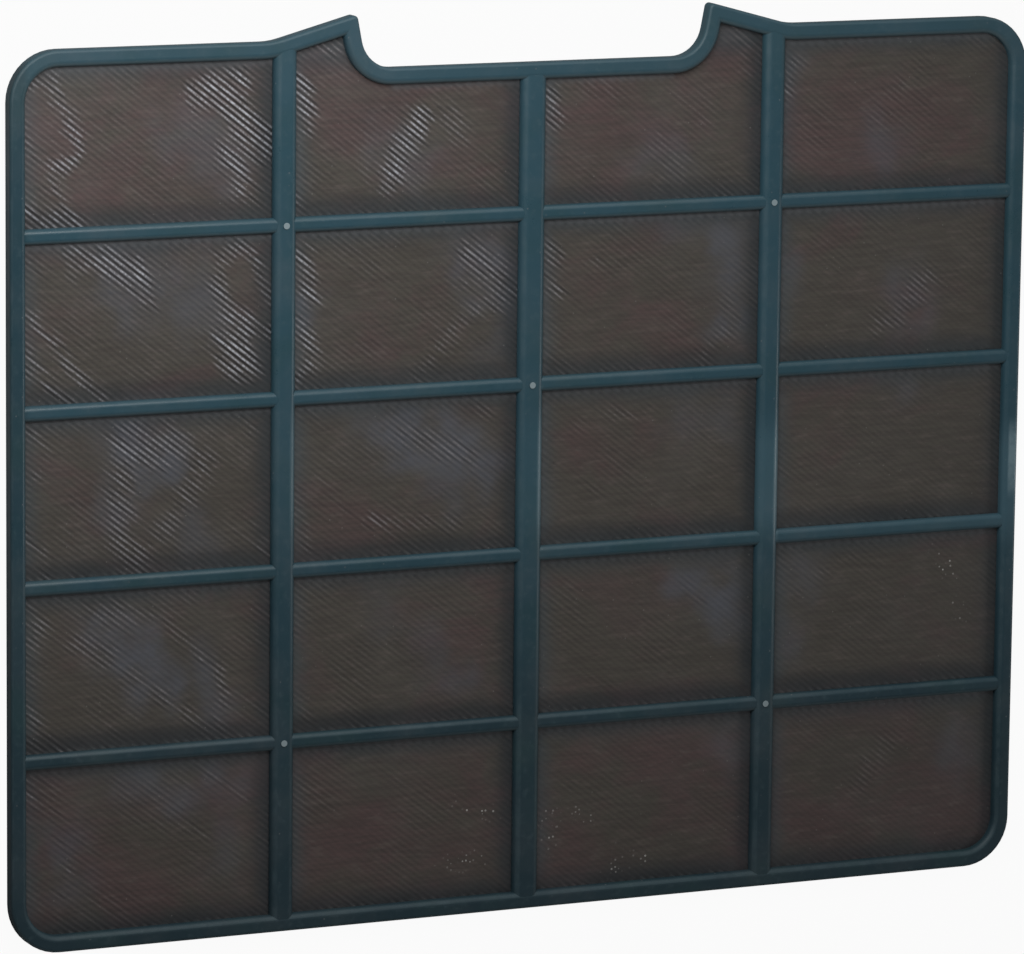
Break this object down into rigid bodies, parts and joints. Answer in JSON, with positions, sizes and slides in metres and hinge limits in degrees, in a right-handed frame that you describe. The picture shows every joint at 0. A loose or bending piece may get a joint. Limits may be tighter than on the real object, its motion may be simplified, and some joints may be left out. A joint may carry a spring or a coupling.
{
  "type": "air purifier filter",
  "caption": "Flat washable mesh pre-filter: a thin moulded frame with crossing ribs and rounded corners round a net, and a notch between small pointed horns in one edge.",
  "frame": {"origin": "middle of the overall outline, on the flat back face that the filter lies on", "axes": "+X along the width, +Y up the height towards the notched edge, +Z out of the ribbed front face"},
  "size_m": [0.38, 0.314, 0.0049],
  "materials": {
    "frame_plastic": "semi-gloss moulded polypropylene, dark grey teal, a little dusty",
    "net_plastic": "fine woven plastic net, brown grey with dust"
  },
  "bodies": {
    "root": {"filter_frame": "frame_plastic", "mesh_screen": "net_plastic"}
  },
  "joints": []
}
